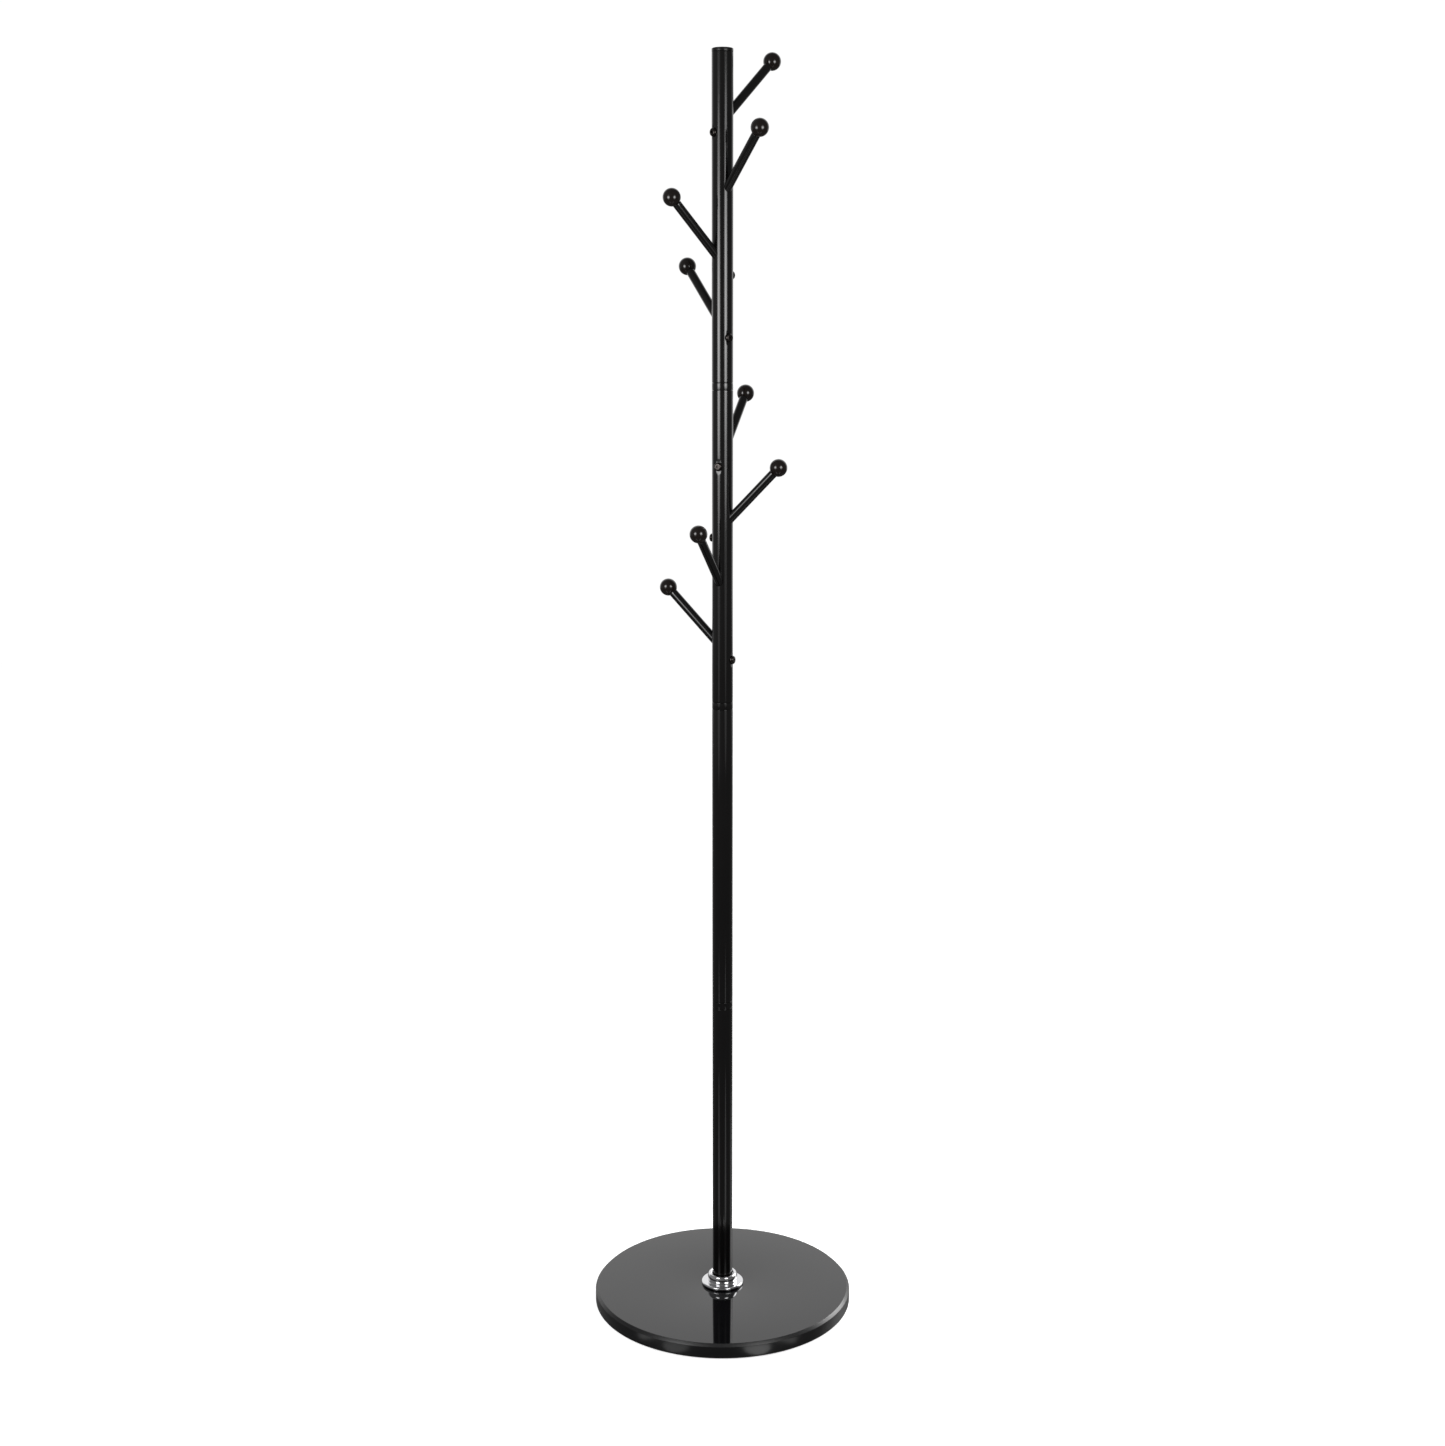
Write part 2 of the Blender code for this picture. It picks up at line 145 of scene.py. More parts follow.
def addPiece(name, mesh, material, nodes, place=None):
    # nodes are the CAD nodes that this piece stands for; its own copy of the mesh is put in place
    mesh = mesh.copy()
    mesh.name = name
    if place is not None:
        mesh.transform(place)
    mesh.materials.append(material)
    piece = bpy.data.objects.new(name, mesh)
    bpy.context.scene.collection.objects.link(piece)
    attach(piece, "root")
    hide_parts(*nodes)
    return piece


def atHeight(height):
    return Matrix.Translation((0, 0, height))


def cutMesh(mesh, cutterMesh):
    # cuts one closed mesh out of another with an exact Boolean
    body = bpy.data.objects.new("cutBody", mesh)
    cutter = bpy.data.objects.new("cutter", cutterMesh)
    for thing in (body, cutter):
        bpy.context.scene.collection.objects.link(thing)
    boolean = body.modifiers.new("cut", "BOOLEAN")
    boolean.operation, boolean.object, boolean.solver = "DIFFERENCE", cutter, "EXACT"
    bpy.context.view_layer.update()
    made = bpy.data.meshes.new_from_object(body.evaluated_get(bpy.context.evaluated_depsgraph_get()))
    bpy.data.objects.remove(body)
    bpy.data.objects.remove(cutter)
    made.name = mesh.name
    return made


def threadRows(radius, pitch, depth, bottom, top, steps, rowsPerTurn=8):
    # rows of points along a screw thread, which fades out at both ends
    count = int((top - bottom) / pitch * rowsPerTurn)
    rows = []
    for i in range(count + 1):
        height = top + (bottom - top) * i / count
        fade = min(1, (height - bottom) / pitch, (top - height) / pitch)
        row = []
        for k in range(steps):
            phase = (height / pitch - k / steps) % 1
            groove = depth * fade * (1 - abs(2 * phase - 1))
            angle = math.tau * k / steps
            across = radius - groove
            row.append(Vector((across * math.cos(angle), across * math.sin(angle), height)))
        rows.append(row)
    return rows


# ---- materials

def poleEnamel():
    # baked black enamel on steel tube: deep black, semi-gloss, a faint orange peel that softens the lamps
    look = {"Base Color": (*hexLinear("#0c0b0b"), 1), "Metallic": 0.0, "Roughness": 0.12, "IOR": 1.5}
    material, tree, shader = newMaterial("bakedBlackEnamel", look)
    place = addNode(tree, "ShaderNodeTexCoord")
    peelSize, cloudSize = 1.6 * mm, 45 * mm
    peel = addNode(tree, "ShaderNodeTexNoise", {"Scale": 1 / peelSize, "Detail": 2.0, "Roughness": 0.5},
                   {"Vector": place.outputs["Object"]})
    cloud = addNode(tree, "ShaderNodeTexNoise", {"Scale": 1 / cloudSize, "Detail": 3.0},
                    {"Vector": place.outputs["Object"]})
    gloss = addNode(tree, "ShaderNodeMapRange", {"To Min": 0.09, "To Max": 0.15},
                    {"Value": cloud.outputs["Fac"]})
    bump = addNode(tree, "ShaderNodeBump", {"Strength": 0.03, "Distance": 0.05 * mm},
                   {"Height": peel.outputs["Fac"]})
    tint = addNode(tree, "ShaderNodeMix", {"data_type": "RGBA", 6: (*hexLinear("#0a0909"), 1),
                                           7: (*hexLinear("#0e0d0d"), 1)}, {0: cloud.outputs["Fac"]})
    tree.links.new(tint.outputs[2], shader.inputs["Base Color"])
    tree.links.new(gloss.outputs["Result"], shader.inputs["Roughness"])
    tree.links.new(bump.outputs["Normal"], shader.inputs["Normal"])
    return material


def ballLacquer():
    # turned balls under clear lacquer: a dark body and small hard highlights
    look = {"Base Color": (*hexLinear("#15100e"), 1), "Roughness": 0.08, "IOR": 1.5}
    material, tree, shader = newMaterial("blackLacqueredBall", look)
    place = addNode(tree, "ShaderNodeTexCoord")
    waveSize = 6 * mm
    wave = addNode(tree, "ShaderNodeTexNoise", {"Scale": 1 / waveSize, "Detail": 1.0},
                   {"Vector": place.outputs["Object"]})
    gloss = addNode(tree, "ShaderNodeMapRange", {"To Min": 0.05, "To Max": 0.11},
                    {"Value": wave.outputs["Fac"]})
    bump = addNode(tree, "ShaderNodeBump", {"Strength": 0.04, "Distance": 0.1 * mm},
                   {"Height": wave.outputs["Fac"]})
    tree.links.new(gloss.outputs["Result"], shader.inputs["Roughness"])
    tree.links.new(bump.outputs["Normal"], shader.inputs["Normal"])
    return material


def capPlastic():
    # injection-moulded ABS: a little greyer and softer in the highlight than the enamel
    look = {"Base Color": (*hexLinear("#0a0909"), 1), "Roughness": 0.25, "IOR": 1.5}
    material, tree, shader = newMaterial("mouldedBlackAbs", look)
    place = addNode(tree, "ShaderNodeTexCoord")
    grainSize = 0.5 * mm
    grain = addNode(tree, "ShaderNodeTexNoise", {"Scale": 1 / grainSize, "Detail": 2.0},
                    {"Vector": place.outputs["Object"]})
    gloss = addNode(tree, "ShaderNodeMapRange", {"To Min": 0.2, "To Max": 0.3},
                    {"Value": grain.outputs["Fac"]})
    bump = addNode(tree, "ShaderNodeBump", {"Strength": 0.08, "Distance": 0.03 * mm},
                   {"Height": grain.outputs["Fac"]})
    tree.links.new(gloss.outputs["Result"], shader.inputs["Roughness"])
    tree.links.new(bump.outputs["Normal"], shader.inputs["Normal"])
    return material


def polishedStone():
    # black granite: mirror polished on top, honed round the rim, sawn underneath, with tiny crystals
    look = {"Base Color": (*hexLinear("#08080a"), 1), "Roughness": 0.03, "IOR": 1.56}
    material, tree, shader = newMaterial("polishedBlackGranite", look)
    place = addNode(tree, "ShaderNodeTexCoord")
    crystalSize = 1.4 * mm
    cloudSize = 30 * mm
    gritSize = 0.8 * mm
    facing = addNode(tree, "ShaderNodeNewGeometry")
    normal = addNode(tree, "ShaderNodeSeparateXYZ", links={"Vector": facing.outputs["True Normal"]})
    top = addNode(tree, "ShaderNodeMapRange", {"From Min": 0.75, "From Max": 0.97},
                  {"Value": normal.outputs["Z"]})
    under = addNode(tree, "ShaderNodeMapRange", {"From Min": -0.5, "From Max": -0.9},
                    {"Value": normal.outputs["Z"]})
    crystal = addNode(tree, "ShaderNodeTexVoronoi", {"Scale": 1 / crystalSize},
                      {"Vector": place.outputs["Object"]})
    cloud = addNode(tree, "ShaderNodeTexNoise", {"Scale": 1 / cloudSize, "Detail": 5.0},
                    {"Vector": place.outputs["Object"]})
    fleck = addNode(tree, "ShaderNodeMapRange", {"From Min": 0.75, "From Max": 1.0, "To Max": 0.25},
                    {"Value": crystal.outputs["Color"]})
    body = addNode(tree, "ShaderNodeMix", {"data_type": "RGBA", 6: (*hexLinear("#060607"), 1),
                                           7: (*hexLinear("#0d0d0f"), 1)}, {0: cloud.outputs["Fac"]})
    speckled = addNode(tree, "ShaderNodeMix", {"data_type": "RGBA", 7: (*hexLinear("#1b1b1e"), 1)},
                       {0: fleck.outputs["Result"], 6: body.outputs[2]})
    sawn = addNode(tree, "ShaderNodeMix", {"data_type": "RGBA", 7: (*hexLinear("#3a3a3d"), 1)},
                   {0: under.outputs["Result"], 6: speckled.outputs[2]})
    rim = addNode(tree, "ShaderNodeMapRange", {"To Min": 0.32, "To Max": 0.03},
                  {"Value": top.outputs["Result"]})
    rough = addNode(tree, "ShaderNodeMath", {"operation": "MULTIPLY_ADD", 1: 0.45},
                    {0: under.outputs["Result"], 2: rim.outputs["Result"]})
    grit = addNode(tree, "ShaderNodeTexNoise", {"Scale": 1 / gritSize, "Detail": 3.0},
                   {"Vector": place.outputs["Object"]})
    sawMarks = addNode(tree, "ShaderNodeMath", {"operation": "MULTIPLY"},
                       {0: grit.outputs["Fac"], 1: under.outputs["Result"]})
    bump = addNode(tree, "ShaderNodeBump", {"Strength": 0.5, "Distance": 0.15 * mm},
                   {"Height": sawMarks.outputs["Value"]})
    tree.links.new(sawn.outputs[2], shader.inputs["Base Color"])
    tree.links.new(rough.outputs["Value"], shader.inputs["Roughness"])
    tree.links.new(bump.outputs["Normal"], shader.inputs["Normal"])
    return material


def collarChrome():
    # bright chrome plate on a turned collar: a mirror, with the faintest rings left by the lathe and the mop
    look = {"Base Color": (*hexLinear("#dcdcde"), 1), "Metallic": 1.0, "Roughness": 0.06}
    material, tree, shader = newMaterial("brightChromePlate", look)
    place = addNode(tree, "ShaderNodeTexCoord")
    mopSize = 5 * mm
    squash = addNode(tree, "ShaderNodeMapping", {"Scale": (1, 1, 9)}, {"Vector": place.outputs["Object"]})
    mop = addNode(tree, "ShaderNodeTexNoise", {"Scale": 1 / mopSize, "Detail": 4.0},
                  {"Vector": squash.outputs["Vector"]})
    gloss = addNode(tree, "ShaderNodeMapRange", {"To Min": 0.03, "To Max": 0.1},
                    {"Value": mop.outputs["Fac"]})
    bump = addNode(tree, "ShaderNodeBump", {"Strength": 0.03, "Distance": 0.05 * mm},
                   {"Height": mop.outputs["Fac"]})
    tree.links.new(gloss.outputs["Result"], shader.inputs["Roughness"])
    tree.links.new(bump.outputs["Normal"], shader.inputs["Normal"])
    return material


def boltOxide():
    # black oxide on steel: dark grey metal with a dull sheen
    look = {"Base Color": (*hexLinear("#393533"), 1), "Metallic": 1.0, "Roughness": 0.25}
    material, tree, shader = newMaterial("blackOxideSteel", look)
    place = addNode(tree, "ShaderNodeTexCoord")
    stainSize = 1.5 * mm
    stain = addNode(tree, "ShaderNodeTexNoise", {"Scale": 1 / stainSize, "Detail": 4.0},
                    {"Vector": place.outputs["Object"]})
    tint = addNode(tree, "ShaderNodeMix", {"data_type": "RGBA", 6: (*hexLinear("#2f2c2b"), 1),
                                           7: (*hexLinear("#433f3d"), 1)}, {0: stain.outputs["Fac"]})
    gloss = addNode(tree, "ShaderNodeMapRange", {"To Min": 0.18, "To Max": 0.32},
                    {"Value": stain.outputs["Fac"]})
    tree.links.new(tint.outputs[2], shader.inputs["Base Color"])
    tree.links.new(gloss.outputs["Result"], shader.inputs["Roughness"])
    return material


def zincPlate():
    # passivated zinc on screws and plugs: pale grey metal with a faint blue and yellow cast in patches
    look = {"Base Color": (*hexLinear("#b4b6b2"), 1), "Metallic": 1.0, "Roughness": 0.36}
    material, tree, shader = newMaterial("zincPlatedSteel", look)
    place = addNode(tree, "ShaderNodeTexCoord")
    castSize = 4 * mm
    cast = addNode(tree, "ShaderNodeTexNoise", {"Scale": 1 / castSize, "Detail": 3.0},
                   {"Vector": place.outputs["Object"]})
    tint = addNode(tree, "ShaderNodeMix", {"data_type": "RGBA", 6: (*hexLinear("#a9adb0"), 1),
                                           7: (*hexLinear("#bdbba8"), 1)}, {0: cast.outputs["Fac"]})
    gloss = addNode(tree, "ShaderNodeMapRange", {"To Min": 0.28, "To Max": 0.45},
                    {"Value": cast.outputs["Fac"]})
    tree.links.new(tint.outputs[2], shader.inputs["Base Color"])
    tree.links.new(gloss.outputs["Result"], shader.inputs["Roughness"])
    return material


def padRubber():
    # moulded rubber: matt, slightly dusty black
    look = {"Base Color": (*hexLinear("#1c1c1c"), 1), "Roughness": 0.85}
    material, tree, shader = newMaterial("mouldedRubber", look)
    place = addNode(tree, "ShaderNodeTexCoord")
    dustSize = 0.7 * mm
    dust = addNode(tree, "ShaderNodeTexNoise", {"Scale": 1 / dustSize, "Detail": 4.0},
                   {"Vector": place.outputs["Object"]})
    tint = addNode(tree, "ShaderNodeMix", {"data_type": "RGBA", 6: (*hexLinear("#171717"), 1),
                                           7: (*hexLinear("#2a2927"), 1)}, {0: dust.outputs["Fac"]})
    bump = addNode(tree, "ShaderNodeBump", {"Strength": 0.3, "Distance": 0.05 * mm},
                   {"Height": dust.outputs["Fac"]})
    tree.links.new(tint.outputs[2], shader.inputs["Base Color"])
    tree.links.new(bump.outputs["Normal"], shader.inputs["Normal"])
    return material


enamel, lacquer, plastic, granite = poleEnamel(), ballLacquer(), capPlastic(), polishedStone()
chrome, oxide, zinc, rubber = collarChrome(), boltOxide(), zincPlate(), padRubber()
print("materials made")


# ---- base

thread10 = {"radius": 4.9 * mm, "pitch": 1.5 * mm, "depth": 0.8 * mm, "hole": 5.3 * mm}
discLow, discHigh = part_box("base_disc")
disc = {"radius": discHigh.x, "bottom": discLow.z, "top": discHigh.z, "bevel": 3.8 * mm, "bevelEase": 1 * mm,
        "lowerFillet": 1 * mm, "hole": 6 * mm, "counterbore": 15 * mm, "counterboreDepth": 10 * mm}


def baseDisc():
    step = disc["bottom"] + disc["counterboreDepth"]
    outline = soften([
        (disc["radius"] - disc["bevel"], disc["top"], disc["bevelEase"]),
        (disc["radius"], disc["top"] - disc["bevel"], disc["bevelEase"]),
        (disc["radius"], disc["bottom"], disc["lowerFillet"]),
        (disc["counterbore"], disc["bottom"], 0.5 * mm), (disc["counterbore"], step, 0.5 * mm),
        (disc["hole"], step, 0.3 * mm), (disc["hole"], disc["top"], 0.3 * mm)], closed=True, arcSteps=8)
    addPiece("polished_base", turnedMesh("polished_base", outline, 256, closed=True), granite,
             ["base_disc"])


collarLow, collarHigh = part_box("base_collar")
collar = {"bottom": collarLow.z, "height": collarHigh.z - collarLow.z, "flange": collarHigh.x,
          "bore": 14.6 * mm, "bead": 21.5 * mm, "beadTall": 5.9 * mm, "flangeTall": 4.4 * mm}


def baseCollar():
    # a rounded bead standing on a flange with a full round edge
    middle, half = (collar["bore"] + collar["bead"]) / 2, (collar["bead"] - collar["bore"]) / 2
    corners, firstAngle, sweep, beadSteps = [], 150, 180, 32
    for i in range(beadSteps + 1):  # the bead's arc, from the bore's side over the top
        angle = math.radians(firstAngle - sweep * i / beadSteps)
        height = collar["height"] - collar["beadTall"] * (1 - math.sin(angle))
        corners.append((middle + half * math.cos(angle), height, 0))
    corners += [
        (collar["bead"] - 0.4 * mm, collar["flangeTall"], 1.6 * mm),
        (collar["flange"], collar["flangeTall"], 2.1 * mm), (collar["flange"], 0, 1.9 * mm),
        (collar["bore"], 0, 0.3 * mm),
        (collar["bore"], collar["height"] - collar["beadTall"] / 2, 0.15 * mm)]
    mesh = turnedMesh("chrome_collar", soften(corners, closed=True, arcSteps=10), 160, closed=True)
    addPiece("chrome_collar", mesh, chrome, ["base_collar"], atHeight(collar["bottom"]))


def footPads():
    low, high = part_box("foot_pad_1")
    radius, tall = (high.x - low.x) / 2, high.z - low.z
    groove, grooveStep = 0.35 * mm, 2.4 * mm
    corners = [(0, tall, 0), (radius, tall, 0.3 * mm), (radius, 0, 0.5 * mm)]
    across = radius - 2 * mm
    while across > 2 * mm:  # grip rings in the underside
        corners += [(across, 0, 0.1 * mm), (across - 0.3 * mm, groove, 0.1 * mm),
                    (across - 0.7 * mm, groove, 0.1 * mm), (across - mm, 0, 0.1 * mm)]
        across -= grooveStep
    corners.append((0, 0, 0))
    mesh = turnedMesh("rubber_pad", soften(corners, arcSteps=3), 64)
    for number in range(1, 5):
        low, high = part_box(f"foot_pad_{number}")
        middle = Matrix.Translation(((low.x + high.x) / 2, (low.y + high.y) / 2, 0))
        addPiece(f"rubber_pad_{number}", mesh, rubber, [f"foot_pad_{number}"], middle)


def hexHeadRows(acrossFlats, bottom, top, steps):
    # a hexagon head whose lower face is chamfered round its corners
    flat, chamferCircle = acrossFlats / 2, acrossFlats / 2 * 0.94
    rows = [[Vector((0, 0, bottom))], ringOf(chamferCircle, bottom, steps)]
    for height, chamfered in ((bottom, True), (top, False)):
        row = []
        for k in range(steps):
            angle = math.tau * k / steps
            away = (angle + math.pi / 6) % (math.pi / 3) - math.pi / 6
            radius = flat / math.cos(away)
            lift = (radius - chamferCircle) * math.tan(math.radians(30)) if chamfered else 0
            row.append(Vector((radius * math.cos(angle), radius * math.sin(angle), height + lift)))
        rows.append(row)
    return rows


def baseFixing():
    acrossFlats, plainShank, washerBore, steps = 17 * mm, 12 * mm, 5.3 * mm, 72
    low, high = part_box("base_bolt")
    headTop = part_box("base_washer")[0].z - 0.3 * mm
    rows = hexHeadRows(acrossFlats, low.z, headTop, steps)
    rows.append(ringOf(thread10["radius"], headTop, steps))
    threadBottom = headTop + plainShank
    rows += threadRows(thread10["radius"], thread10["pitch"], thread10["depth"], threadBottom,
                       high.z - mm, steps)[::-1]
    rows += [ringOf(thread10["radius"] - mm, high.z, steps), [Vector((0, 0, high.z))]]
    shape = bmesh.new()
    skin(shape, rows)
    addPiece("hexagon_bolt", meshFrom("hexagon_bolt", shape, 30), zinc, ["base_bolt"])
    low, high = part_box("base_washer")
    outline = soften([(high.x, high.z, 0.5 * mm), (high.x, low.z, 0.5 * mm), (washerBore, low.z, 0.2 * mm),
                      (washerBore, high.z, 0.2 * mm)], closed=True)
    addPiece("plain_washer", turnedMesh("plain_washer", outline, 96, closed=True), zinc,
             ["base_washer"])


baseDisc()
baseCollar()
footPads()
baseFixing()
print("base made")


# ---- pole

tubeLow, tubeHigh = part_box("pole_tube_lower")
# play: a plug's clearance in the bore; gap: the thin groove between a tube's end and the next piece
tube = {"radius": tubeHigh.x, "wall": 1.2 * mm, "endFillet": 0.5 * mm, "play": 0.3 * mm, "gap": 0.3 * mm,
        "steps": 144}
tube["bore"] = tube["radius"] - tube["wall"]


def plainTubes():
    length = tubeHigh.z - tubeLow.z
    outline = soften([
        (tube["radius"], length, tube["endFillet"]), (tube["radius"], 0, tube["endFillet"]),
        (tube["bore"], 0, 0.2 * mm), (tube["bore"], length, 0.2 * mm)], closed=True)
    mesh = turnedMesh("plain_tube", outline, tube["steps"], closed=True)
    for name in ("lower", "middle"):
        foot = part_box(f"pole_tube_{name}")[0].z
        addPiece(f"plain_tube_{name}", mesh, enamel, [f"pole_tube_{name}"], atHeight(foot))


def couplers():
    low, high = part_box("coupler_1")
    spigot, edge = tube["bore"] - tube["play"], 0.5 * mm
    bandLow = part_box("pole_tube_lower")[1].z + tube["gap"] - low.z
    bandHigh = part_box("pole_tube_middle")[0].z - tube["gap"] - low.z
    tall, holeDepth = high.z - low.z, 27 * mm
    holeFloor = tall - holeDepth
    corners = [
        (0, holeFloor, 0), (thread10["hole"], holeFloor, 0), (thread10["hole"], tall, 0.4 * mm),
        (spigot, tall, edge), (spigot, bandHigh, 0), (tube["radius"], bandHigh, tube["endFillet"]),
        (tube["radius"], bandLow, tube["endFillet"]), (spigot, bandLow, 0)]
    ribStep, root, ease = 2.5 * mm, spigot - 0.5 * mm, 0.1 * mm
    height = bandLow - 3 * mm
    while height > 4 * mm:  # press-fit ribs on the plug
        corners += [(spigot, height, ease), (root, height - 0.4 * mm, ease),
                    (root, height - 0.9 * mm, ease), (spigot, height - 1.3 * mm, ease)]
        height -= ribStep
    corners += [(spigot, 0, edge), (0, 0, 0)]
    mesh = turnedMesh("pole_coupler", soften(corners, arcSteps=4), tube["steps"])
    for number in (1, 2, 3):
        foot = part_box(f"coupler_{number}")[0].z
        addPiece(f"pole_coupler_{number}", mesh, enamel, [f"coupler_{number}"], atHeight(foot))


def couplingStuds():
    low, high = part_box("coupling_stud_1")
    tall = high.z - low.z
    rows = [[Vector((0, 0, tall))], ringOf(thread10["radius"] - mm, tall, 48)]
    rows += threadRows(thread10["radius"], thread10["pitch"], thread10["depth"], mm, tall - mm, 48)
    rows += [ringOf(thread10["radius"] - mm, 0, 48), [Vector((0, 0, 0))]]
    shape = bmesh.new()
    skin(shape, rows)
    mesh = meshFrom("threaded_stud", shape, 30)
    for number in (1, 2, 3):
        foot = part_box(f"coupling_stud_{number}")[0].z
        addPiece(f"threaded_stud_{number}", mesh, zinc, [f"coupling_stud_{number}"],
                 atHeight(foot))


def nutInserts():
    low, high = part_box("nut_insert_1")
    tall, outer = high.z - low.z, tube["bore"] - tube["play"]
    grooveStep, root, ease, plainEnd = 4 * mm, outer - 0.6 * mm, 0.1 * mm, 3 * mm
    corners = [(outer, tall, 0.6 * mm)]
    height = tall - plainEnd
    while height > plainEnd:  # grip grooves round the outside
        corners += [(outer, height, ease), (root, height - 0.5 * mm, ease),
                    (root, height - 1.5 * mm, ease), (outer, height - 2 * mm, ease)]
        height -= grooveStep
    corners += [(outer, 0, 0.4 * mm), (thread10["hole"], 0, 0.8 * mm), (thread10["hole"], tall, 0.8 * mm)]
    mesh = turnedMesh("press_nut", soften(corners, closed=True, arcSteps=3), 96, closed=True)
    for number in (1, 2, 3, 4):
        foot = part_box(f"nut_insert_{number}")[0].z
        addPiece(f"press_nut_{number}", mesh, zinc, [f"nut_insert_{number}"], atHeight(foot))


def topCap():
    low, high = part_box("top_cap")
    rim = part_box("peg_tube_upper")[1].z + tube["gap"]
    spigot, shell, crown = tube["bore"] - tube["play"], 2 * mm, 0.45 * mm
    edge = high.z - crown
    corners = [(0, high.z, 0)]
    for share in (0.3, 0.6, 0.85):
        across = tube["radius"] * share
        corners.append((across, high.z - (high.z - edge) * share ** 2, 0))
    corners += [
        (tube["radius"], edge, 1.5 * mm), (tube["radius"], rim, 0.4 * mm), (spigot, rim, 0.1 * mm),
        (spigot, low.z, 0.5 * mm), (spigot - shell, low.z, 0.3 * mm), (spigot - shell, rim, mm), (0, rim, 0)]
    mesh = turnedMesh("moulded_cap", soften(corners, arcSteps=8), tube["steps"])
    addPiece("moulded_cap", mesh, plastic, ["top_cap"])


# ---- pegs

peg = {"slope": math.radians(45), "ballRadius": 11.9 * mm, "rodRadius": 6 * mm, "tenon": 4 * mm,
       "tenonLength": 9.6 * mm, "boreDepth": 10.6 * mm, "boreTip": 11.4 * mm, "ballFlat": 6.1 * mm,
       "shoulderGap": 0.1 * mm, "holeClearance": 0.3 * mm, "reach": 40 * mm}
bolt = {"drop": 15 * mm, "hole": 2.7 * mm, "shank": 2.45 * mm, "pitch": 0.8 * mm, "threadDepth": 0.45 * mm,
        "tip": -6.5 * mm, "underHead": -14.1 * mm, "headRadius": 5.9 * mm, "headHeight": 3.8 * mm,
        "faceRadius": 3.3 * mm, "socket": 3 * mm, "socketDepth": 2 * mm}
dimple = {"floor": 13.8 * mm, "flatRadius": 6 * mm, "rim": 11 * mm}


def middleOf(node):
    low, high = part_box(node)
    return (low + high) / 2


def pegLevels():
    # each peg tube's foot, first angle and peg heights, read from where the CAD balls are
    levels = {}
    for level, balls in {"lower": (8, 7, 6, 5), "upper": (4, 3, 2, 1)}.items():
        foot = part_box(f"peg_tube_{level}")[0].z
        heights, firsts = [], []
        for i, number in enumerate(balls):
            centre = middleOf(f"peg_ball_{number}")
            heights.append(centre.z - math.hypot(centre.x, centre.y) * math.tan(peg["slope"]) - foot)
            turn = math.atan2(centre.y, centre.x) - i * math.pi / 2
            firsts.append((turn - firsts[0] + math.pi) % math.tau - math.pi + firsts[0] if firsts else turn)
        levels[level] = {"foot": foot, "first": sum(firsts) / len(firsts), "heights": heights, "balls": balls}
    return levels


levels = pegLevels()
pegHeights = [(a + b) / 2 for a, b in zip(levels["lower"]["heights"], levels["upper"]["heights"])]
ballReach = math.hypot(*middleOf("peg_ball_1").xy) / math.cos(peg["slope"])
ballSeat = ballReach - math.sqrt(peg["ballRadius"] ** 2 - peg["ballFlat"] ** 2)


def pegFrame(height, turn):
    # Z runs out along the peg from the pole's axis
    lean = Matrix.Rotation(math.pi / 2 - peg["slope"], 4, "Y")
    return Matrix.Translation((0, 0, height)) @ Matrix.Rotation(turn, 4, "Z") @ lean


def boltFrame(height, turn):
    # Z runs level from the bolt's head towards the peg's side of the pole
    level = Matrix.Rotation(math.pi / 2, 4, "Y")
    return Matrix.Translation((0, 0, height - bolt["drop"])) @ Matrix.Rotation(turn, 4, "Z") @ level


def dished(point, frames):
    # the wall is pressed flat under a bolt's head and eases back to round outside it
    for place, inverse in frames:
        local = inverse @ point
        over, across = -local.z - dimple["floor"], math.hypot(local.x, local.y)
        if over > 0 and across < dimple["rim"]:
            share = max(0.0, (across - dimple["flatRadius"]) / (dimple["rim"] - dimple["flatRadius"]))
            local.z += over * (1 - share * share * (3 - 2 * share))
            return place @ local
    return point


def cylinders(name, radius, start, end, frames, sides=64):
    shape = bmesh.new()
    for place in frames:
        bmesh.ops.create_cone(shape, cap_ends=True, segments=sides, radius1=radius, radius2=radius,
                              depth=end - start, matrix=place @ atHeight((start + end) / 2))
    return meshFrom(name, shape)


